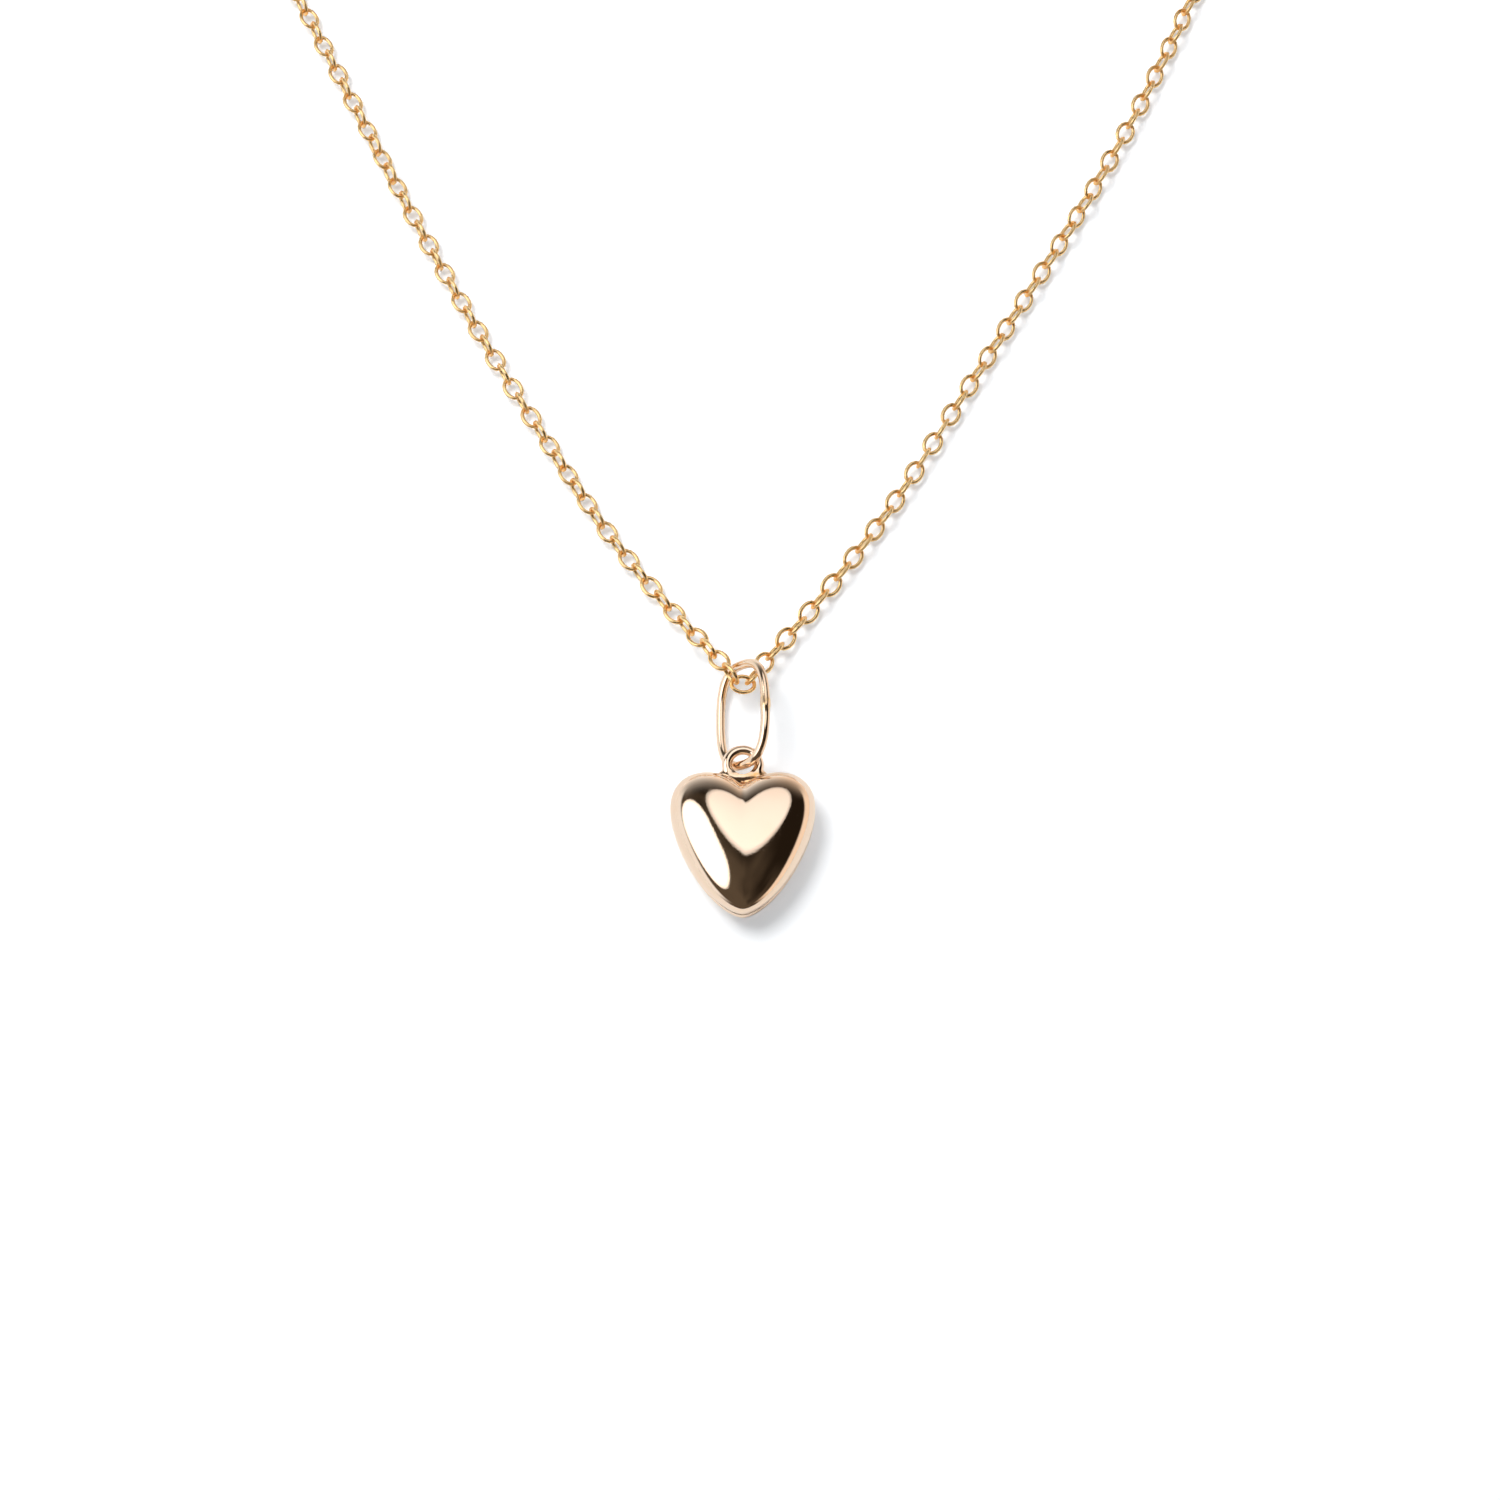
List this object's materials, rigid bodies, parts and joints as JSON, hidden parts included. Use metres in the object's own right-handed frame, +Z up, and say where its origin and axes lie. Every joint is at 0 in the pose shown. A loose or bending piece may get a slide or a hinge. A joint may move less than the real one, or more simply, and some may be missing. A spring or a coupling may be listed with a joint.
{
  "type": "pendant necklace",
  "caption": "Fine necklace laid flat: a hollow puffed heart on a soldered eyelet, an oval bail, an oval cable chain and a spring-ring clasp.",
  "frame": {"origin": "centre of the flat land on the heart's back, which rests on the table", "axes": "+Z up off the table and out of the front of the heart, +Y from the heart towards the chain, +X to the right seen from the front"},
  "size_m": [0.0768, 0.0892, 0.0043],
  "materials": {
    "heart_gold": "mirror-polished warm gold",
    "bail_gold": "polished warm gold",
    "chain_gold": "polished yellow gold",
    "findings_gold": "polished yellow gold",
    "spring_steel": "bright spring wire"
  },
  "bodies": {
    "chain": {"chain_left_strand": "chain_gold", "chain_left_coil": "chain_gold", "chain_left_tail": "chain_gold", "chain_right_strand": "chain_gold", "chain_right_coil": "chain_gold", "chain_right_tail": "chain_gold"},
    "bail": {"bail_ring": "bail_gold"},
    "heart": {"heart_front_shell": "heart_gold", "heart_back_shell": "heart_gold", "heart_eyelet": "heart_gold"},
    "link_centre": {"link_centre": "chain_gold"},
    "link_left_01": {"link_left_01": "chain_gold"},
    "link_left_02": {"link_left_02": "chain_gold"},
    "link_left_03": {"link_left_03": "chain_gold"},
    "link_left_04": {"link_left_04": "chain_gold"},
    "link_left_05": {"link_left_05": "chain_gold"},
    "link_left_06": {"link_left_06": "chain_gold"},
    "link_left_07": {"link_left_07": "chain_gold"},
    "link_left_08": {"link_left_08": "chain_gold"},
    "link_right_01": {"link_right_01": "chain_gold"},
    "link_right_02": {"link_right_02": "chain_gold"},
    "link_right_03": {"link_right_03": "chain_gold"},
    "link_right_04": {"link_right_04": "chain_gold"},
    "link_right_05": {"link_right_05": "chain_gold"},
    "link_right_06": {"link_right_06": "chain_gold"},
    "link_right_07": {"link_right_07": "chain_gold"},
    "link_right_08": {"link_right_08": "chain_gold"},
    "link_left_end": {"link_left_end": "chain_gold"},
    "link_right_end": {"link_right_end": "chain_gold"},
    "jump_ring": {"jump_ring": "findings_gold"},
    "clasp": {"clasp_tube": "findings_gold", "clasp_eye": "findings_gold", "clasp_spring": "spring_steel"},
    "clasp_bolt": {"clasp_bolt": "findings_gold"},
    "end_ring": {"end_ring": "findings_gold"}
  },
  "joints": [
    {"name": "bail_swing", "type": "hinge", "parent": "chain", "child": "bail", "pos_m": [0, 0.01185, 0.0021], "axis": [0.9439, 0, -0.3304], "range_deg": [-40, 0]},
    {"name": "heart_swing", "type": "hinge", "parent": "bail", "child": "heart", "pos_m": [0, 0.00555, 0.0021], "axis": [0.7071, 0, 0.7071], "range_deg": [-45, 0]},
    {"name": "link_centre_roll", "type": "hinge", "parent": "chain", "child": "link_centre", "pos_m": [0, 0.0113, 0.0021], "axis": [0.988, 0, -0.1544], "range_deg": [-6, 6]},
    {"name": "link_left_01_roll", "type": "hinge", "parent": "chain", "child": "link_left_01", "pos_m": [-0.00084, 0.01204, 0.00222], "axis": [-0.6007, 0.7991, -0.0238], "range_deg": [-5, 5]},
    {"name": "link_left_02_roll", "type": "hinge", "parent": "chain", "child": "link_left_02", "pos_m": [-0.00161, 0.01305, 0.00208], "axis": [-0.5977, 0.7752, -0.2043], "range_deg": [-5, 5]},
    {"name": "link_left_03_roll", "type": "hinge", "parent": "chain", "child": "link_left_03", "pos_m": [-0.00237, 0.01402, 0.00175], "axis": [-0.5921, 0.7416, -0.3153], "range_deg": [-10, 10]},
    {"name": "link_left_04_roll", "type": "hinge", "parent": "chain", "child": "link_left_04", "pos_m": [-0.00314, 0.01497, 0.00137], "axis": [-0.6075, 0.7433, -0.28], "range_deg": [-10, 10]},
    {"name": "link_left_05_roll", "type": "hinge", "parent": "chain", "child": "link_left_05", "pos_m": [-0.00393, 0.01593, 0.00106], "axis": [-0.6219, 0.756, -0.2045], "range_deg": [-10, 10]},
    {"name": "link_left_06_roll", "type": "hinge", "parent": "chain", "child": "link_left_06", "pos_m": [-0.00473, 0.0169, 0.00085], "axis": [-0.6312, 0.7675, -0.1119], "range_deg": [-10, 10]},
    {"name": "link_left_07_roll", "type": "hinge", "parent": "chain", "child": "link_left_07", "pos_m": [-0.00553, 0.01789, 0.00076], "axis": [-0.6285, 0.7767, -0.0405], "range_deg": [-10, 10]},
    {"name": "link_left_08_roll", "type": "hinge", "parent": "chain", "child": "link_left_08", "pos_m": [-0.00634, 0.01888, 0.00072], "axis": [-0.6297, 0.7768, -0.0072], "range_deg": [-10, 10]},
    {"name": "link_right_01_roll", "type": "hinge", "parent": "chain", "child": "link_right_01", "pos_m": [0.00074, 0.01204, 0.00186], "axis": [0.5345, 0.808, -0.2478], "range_deg": [-5, 5]},
    {"name": "link_right_02_roll", "type": "hinge", "parent": "chain", "child": "link_right_02", "pos_m": [0.00144, 0.01304, 0.0015], "axis": [0.5626, 0.7657, -0.3118], "range_deg": [-5, 5]},
    {"name": "link_right_03_roll", "type": "hinge", "parent": "chain", "child": "link_right_03", "pos_m": [0.00218, 0.01403, 0.00116], "axis": [0.5912, 0.7759, -0.22], "range_deg": [-10, 10]},
    {"name": "link_right_04_roll", "type": "hinge", "parent": "chain", "child": "link_right_04", "pos_m": [0.00295, 0.01503, 0.00093], "axis": [0.6083, 0.7802, -0.1461], "range_deg": [-10, 10]},
    {"name": "link_right_05_roll", "type": "hinge", "parent": "chain", "child": "link_right_05", "pos_m": [0.00374, 0.01602, 0.00079], "axis": [0.6289, 0.7744, -0.0692], "range_deg": [-10, 10]},
    {"name": "link_right_06_roll", "type": "hinge", "parent": "chain", "child": "link_right_06", "pos_m": [0.00454, 0.01702, 0.00073], "axis": [0.6171, 0.7865, -0.0236], "range_deg": [-10, 10]},
    {"name": "link_right_07_roll", "type": "hinge", "parent": "chain", "child": "link_right_07", "pos_m": [0.00532, 0.01803, 0.00071], "axis": [0.6115, 0.7912, -0.0055], "range_deg": [-10, 10]},
    {"name": "link_right_08_roll", "type": "hinge", "parent": "chain", "child": "link_right_08", "pos_m": [0.00611, 0.01904, 0.00071], "axis": [0.6085, 0.7935, 0.0022], "range_deg": [-10, 10]},
    {"name": "link_left_end_roll", "type": "hinge", "parent": "chain", "child": "link_left_end", "pos_m": [-0.01615, 0.07858, 0.00072], "axis": [0.925, -0.38, 0], "range_deg": [-20, 3]},
    {"name": "link_right_end_roll", "type": "hinge", "parent": "chain", "child": "link_right_end", "pos_m": [0.01607, 0.07822, 0.00072], "axis": [-0.9144, -0.4049, 0], "range_deg": [-20, 2]},
    {"name": "jump_ring_flop", "type": "hinge", "parent": "chain", "child": "jump_ring", "pos_m": [-0.01599, 0.07851, 0.00072], "axis": [0.925, -0.38, 0], "range_deg": [0, 60]},
    {"name": "clasp_swing", "type": "hinge", "parent": "jump_ring", "child": "clasp", "pos_m": [-0.01499, 0.07839, 0.00117], "axis": [-0.3291, -0.801, 0.5], "range_deg": [0, 110]},
    {"name": "bolt_slide", "type": "hinge", "parent": "clasp", "child": "clasp_bolt", "pos_m": [-0.0109, 0.07636, 0.00062], "axis": [0, 0, 1], "range_deg": [0, 50], "stiffness_Nm_per_rad": 0.00001, "deforming": ["clasp_spring"]},
    {"name": "end_ring_flop", "type": "hinge", "parent": "chain", "child": "end_ring", "pos_m": [0.01591, 0.07814, 0.00072], "axis": [-0.9144, -0.4049, 0], "range_deg": [0, 60]}
  ]
}
